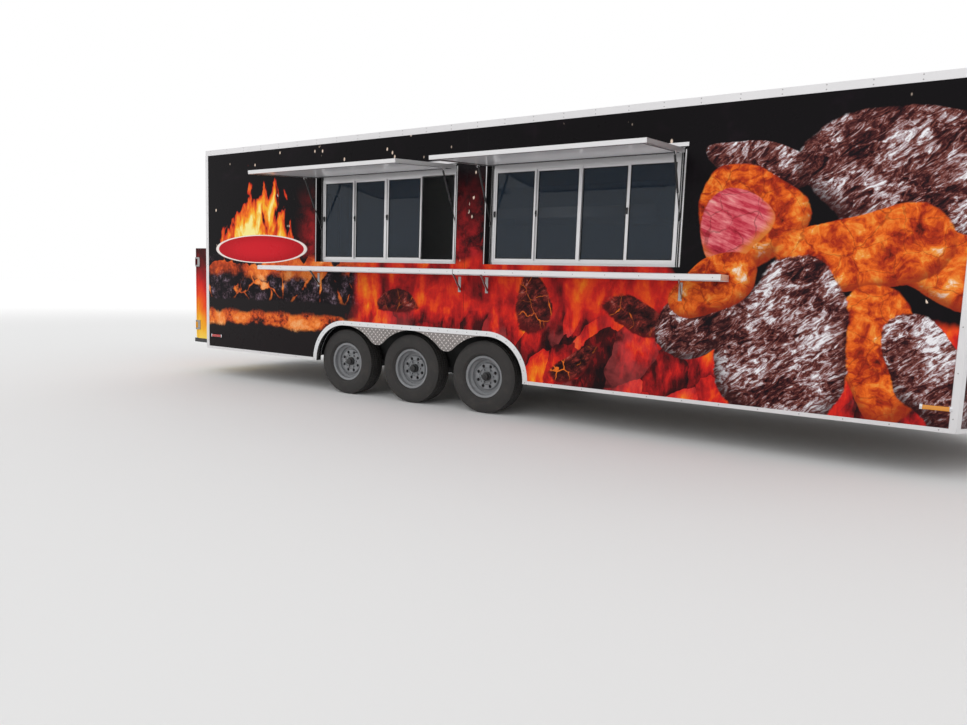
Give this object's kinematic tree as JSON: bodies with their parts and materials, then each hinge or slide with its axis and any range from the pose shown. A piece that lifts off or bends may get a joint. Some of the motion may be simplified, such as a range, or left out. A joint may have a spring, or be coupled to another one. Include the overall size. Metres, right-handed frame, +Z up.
{
  "type": "food trailer",
  "caption": "Tri-axle enclosed food trailer with a V-nose, two serving windows under raised hatches on gas struts, fold-down counters, a rear door and a flame-patterned skin.",
  "frame": {"origin": "centre of the tow ball's socket in the coupler, 460 mm above the ground", "axes": "+X forwards along the tongue, +Y to the trailer's left, +Z up; the serving side faces -Y"},
  "size_m": [10.2451, 3.5517, 3.0719],
  "materials": {
    "wrap": "glossy printed film over sheet aluminium, flames, embers and charred lumps",
    "white_sheet": "glossy white sheet",
    "bright_aluminium": "bright satin extrusions",
    "polished_aluminium": "polished",
    "tread_plate": "raised diamond pattern",
    "frame_paint": "black chassis paint",
    "axle_paint": "satin grey-black paint",
    "zinc": "zinc plated",
    "rubber_tyre": "black rubber",
    "wheel_grey": "grey wheel enamel",
    "plywood": "coated plywood",
    "dark_glass": "dark tinted glass",
    "hatch_paint": "glossy pale sheet",
    "strut_black": "black enamel",
    "rod_chrome": "ground bright",
    "amber_lens": "moulded lens",
    "red_lens": "moulded lens",
    "blank_plate": "blank plate",
    "stainless": "brushed stainless sheet"
  },
  "bodies": {
    "trailer": {"axle_beams": "axle_paint", "body_trims": "bright_aluminium", "chassis_frame": "frame_paint", "coupler": "zinc", "extraction": "stainless", "fender_flanges": "polished_aluminium", "fender_plates": "tread_plate", "floor": "plywood", "jack_tube": "zinc", "kitchen": "stainless", "knuckles": "axle_paint", "lamps_amber": "amber_lens", "lamps_red": "red_lens", "plate_holder": "blank_plate", "rear_platform": "frame_paint", "roof": "white_sheet", "tongue_frame": "frame_paint", "utility_cabinet": "wrap", "wall_brackets": "zinc", "wall_left": "wrap", "wall_nose": "wrap", "wall_rear": "wrap", "wall_right": "wrap", "wheel_boxes": "polished_aluminium", "window_frame_front": "bright_aluminium", "window_frame_rear": "bright_aluminium", "window_glass_front": "dark_glass", "window_glass_rear": "dark_glass"},
    "road_wheel_right_1": {"tyre_right_1": "rubber_tyre", "wheel_right_1": "wheel_grey"},
    "road_wheel_left_1": {"tyre_left_1": "rubber_tyre", "wheel_left_1": "wheel_grey"},
    "road_wheel_right_2": {"tyre_right_2": "rubber_tyre", "wheel_right_2": "wheel_grey"},
    "road_wheel_left_2": {"tyre_left_2": "rubber_tyre", "wheel_left_2": "wheel_grey"},
    "road_wheel_right_3": {"tyre_right_3": "rubber_tyre", "wheel_right_3": "wheel_grey"},
    "road_wheel_left_3": {"tyre_left_3": "rubber_tyre", "wheel_left_3": "wheel_grey"},
    "jack_inner": {"jack_leg": "zinc"},
    "hatch_rear": {"hatch_frame_rear": "bright_aluminium", "hatch_panel_rear": "hatch_paint"},
    "struts_rear": {"strut_cylinders_rear": "strut_black"},
    "strut_pistons_rear": {"strut_rods_rear": "rod_chrome"},
    "counter_top_rear": {"counter_rear": "bright_aluminium"},
    "brace_feet_rear": {"brace_lower_rear": "zinc"},
    "brace_heads_rear": {"brace_upper_rear": "zinc"},
    "hatch_front": {"hatch_frame_front": "bright_aluminium", "hatch_panel_front": "hatch_paint"},
    "struts_front": {"strut_cylinders_front": "strut_black"},
    "strut_pistons_front": {"strut_rods_front": "rod_chrome"},
    "counter_top_front": {"counter_front": "bright_aluminium"},
    "brace_feet_front": {"brace_lower_front": "zinc"},
    "brace_heads_front": {"brace_upper_front": "zinc"},
    "rear_door_leaf": {"rear_door": "wrap"},
    "cabinet_door_leaf": {"cabinet_door": "wrap"}
  },
  "joints": [
    {"name": "spin_right_1", "type": "hinge", "parent": "trailer", "child": "road_wheel_right_1", "pos_m": [-7.385, -1.134, -0.101], "axis": [0, 1, 0], "continuous": true},
    {"name": "spin_left_1", "type": "hinge", "parent": "trailer", "child": "road_wheel_left_1", "pos_m": [-7.385, 1.134, -0.101], "axis": [0, 1, 0], "continuous": true},
    {"name": "spin_right_2", "type": "hinge", "parent": "trailer", "child": "road_wheel_right_2", "pos_m": [-6.496, -1.134, -0.101], "axis": [0, 1, 0], "continuous": true},
    {"name": "spin_left_2", "type": "hinge", "parent": "trailer", "child": "road_wheel_left_2", "pos_m": [-6.496, 1.134, -0.101], "axis": [0, 1, 0], "continuous": true},
    {"name": "spin_right_3", "type": "hinge", "parent": "trailer", "child": "road_wheel_right_3", "pos_m": [-5.607, -1.134, -0.101], "axis": [0, 1, 0], "continuous": true},
    {"name": "spin_left_3", "type": "hinge", "parent": "trailer", "child": "road_wheel_left_3", "pos_m": [-5.607, 1.134, -0.101], "axis": [0, 1, 0], "continuous": true},
    {"name": "jack_slide", "type": "slide", "parent": "trailer", "child": "jack_inner", "axis": [0, 0, 1], "range_m": [0, 0.33]},
    {"name": "hatch_swing_rear", "type": "hinge", "parent": "trailer", "child": "hatch_rear", "pos_m": [-6.871, -1.2995, 1.942], "axis": [1, 0, 0], "range_deg": [0, 84]},
    {"name": "strut_swing_rear", "type": "hinge", "parent": "hatch_rear", "child": "struts_rear", "pos_m": [-6.871, -1.49784, 1.86786], "axis": [1, 0, 0], "range_deg": [-111.07, 0]},
    {"name": "strut_slide_rear", "type": "slide", "parent": "struts_rear", "child": "strut_pistons_rear", "axis": [0, 0.4543, -0.8909], "range_m": [-0.19175, 0]},
    {"name": "counter_swing_rear", "type": "hinge", "parent": "trailer", "child": "counter_top_rear", "pos_m": [-7.095, -1.3035, 0.888], "axis": [1, 0, 0], "range_deg": [0, 90]},
    {"name": "brace_foot_swing_rear", "type": "hinge", "parent": "trailer", "child": "brace_feet_rear", "pos_m": [-7.095, -1.3145, 0.748], "axis": [1, 0, 0], "range_deg": [-43.93, 0]},
    {"name": "brace_head_swing_rear", "type": "hinge", "parent": "counter_top_rear", "child": "brace_heads_rear", "pos_m": [-7.095, -1.4645, 0.904], "axis": [1, 0, 0], "range_deg": [0, 43.76]},
    {"name": "hatch_swing_front", "type": "hinge", "parent": "trailer", "child": "hatch_front", "pos_m": [-4.671, -1.2995, 1.942], "axis": [1, 0, 0], "range_deg": [0, 84]},
    {"name": "strut_swing_front", "type": "hinge", "parent": "hatch_front", "child": "struts_front", "pos_m": [-4.671, -1.49784, 1.86786], "axis": [1, 0, 0], "range_deg": [-111.07, 0]},
    {"name": "strut_slide_front", "type": "slide", "parent": "struts_front", "child": "strut_pistons_front", "axis": [0, 0.4543, -0.8909], "range_m": [-0.19175, 0]},
    {"name": "counter_swing_front", "type": "hinge", "parent": "trailer", "child": "counter_top_front", "pos_m": [-4.5495, -1.3035, 0.888], "axis": [1, 0, 0], "range_deg": [0, 90]},
    {"name": "brace_foot_swing_front", "type": "hinge", "parent": "trailer", "child": "brace_feet_front", "pos_m": [-4.5495, -1.3145, 0.748], "axis": [1, 0, 0], "range_deg": [-43.93, 0]},
    {"name": "brace_head_swing_front", "type": "hinge", "parent": "counter_top_front", "child": "brace_heads_front", "pos_m": [-4.5495, -1.4645, 0.904], "axis": [1, 0, 0], "range_deg": [0, 43.76]},
    {"name": "rear_door_swing", "type": "hinge", "parent": "trailer", "child": "rear_door_leaf", "pos_m": [-9.693, 1.018, 1.085], "axis": [0, 0, -1], "range_deg": [0, 110]},
    {"name": "cabinet_door_swing", "type": "hinge", "parent": "trailer", "child": "cabinet_door_leaf", "pos_m": [-10.1653, -1.1035, 0.5], "axis": [0, 0, 1], "range_deg": [0, 110]}
  ],
  "couplings": [
    {"joint": "strut_swing_rear", "follows": "hatch_swing_rear", "ratio": -1.3217},
    {"joint": "strut_slide_rear", "follows": "hatch_swing_rear", "m_per_rad": -0.13045},
    {"joint": "brace_foot_swing_rear", "follows": "counter_swing_rear", "ratio": -0.48752},
    {"joint": "brace_head_swing_rear", "follows": "counter_swing_rear", "ratio": 0.48568},
    {"joint": "strut_swing_front", "follows": "hatch_swing_front", "ratio": -1.3217},
    {"joint": "strut_slide_front", "follows": "hatch_swing_front", "m_per_rad": -0.13045},
    {"joint": "brace_foot_swing_front", "follows": "counter_swing_front", "ratio": -0.48752},
    {"joint": "brace_head_swing_front", "follows": "counter_swing_front", "ratio": 0.48568}
  ]
}
